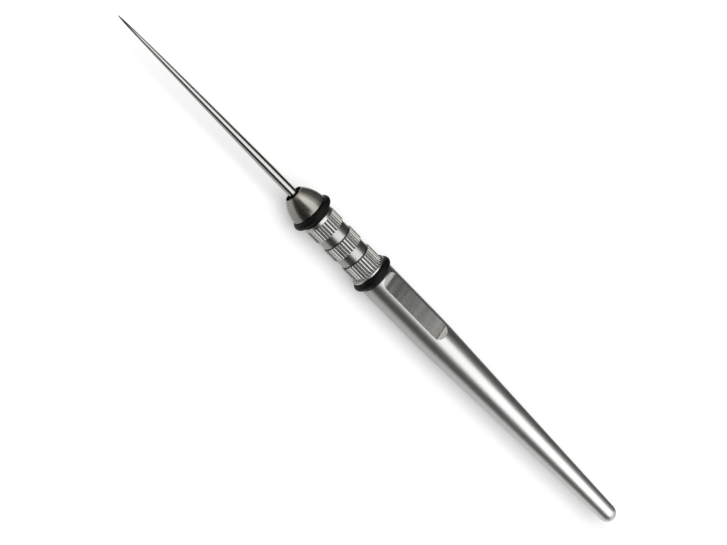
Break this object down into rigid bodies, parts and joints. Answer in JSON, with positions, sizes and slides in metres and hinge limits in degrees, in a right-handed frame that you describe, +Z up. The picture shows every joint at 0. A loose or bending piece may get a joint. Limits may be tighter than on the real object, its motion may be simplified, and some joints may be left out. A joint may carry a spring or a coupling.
{
  "type": "dubbing needle",
  "caption": "Fly-tying dubbing needle with a long ground point, a screwed nose cap, a knurled grip between rubber rings and a tapered handle with a milled flat.",
  "frame": {"origin": "under the middle of the tool's length, on the surface that both rubber rings touch", "axes": "+X along the tool from the needle's point to the handle's tail, +Z up, out of the milled flat on the handle"},
  "size_m": [0.1346, 0.0082, 0.0082],
  "materials": {
    "handle_chrome": "polished chrome plate over turned brass",
    "grip_chrome": "satin chrome plate over knurled brass",
    "nose_steel": "satin turned steel with a warm grey tone",
    "needle_steel": "ground and polished stainless steel",
    "spindle_steel": "plain turned steel",
    "black_rubber": "moulded black nitrile rubber"
  },
  "bodies": {
    "handle_body": {"handle": "handle_chrome", "spindle": "spindle_steel", "rear_o_ring": "black_rubber", "grip": "grip_chrome", "front_o_ring": "black_rubber"},
    "needle_body": {"needle": "needle_steel", "needle_bush": "black_rubber"},
    "nose_body": {"nose_cap": "nose_steel"}
  },
  "joints": [
    {"name": "needle_draw", "type": "slide", "parent": "handle_body", "child": "needle_body", "axis": [-1, 0, 0], "range_m": [0, 0.0021]},
    {"name": "nose_turn", "type": "hinge", "parent": "needle_body", "child": "nose_body", "pos_m": [-0.0202, 0, 0.00411], "axis": [-1, 0, 0], "range_deg": [0, 1080]}
  ],
  "couplings": [
    {"joint": "nose_turn", "follows": "needle_draw", "rad_per_m": 8976}
  ]
}
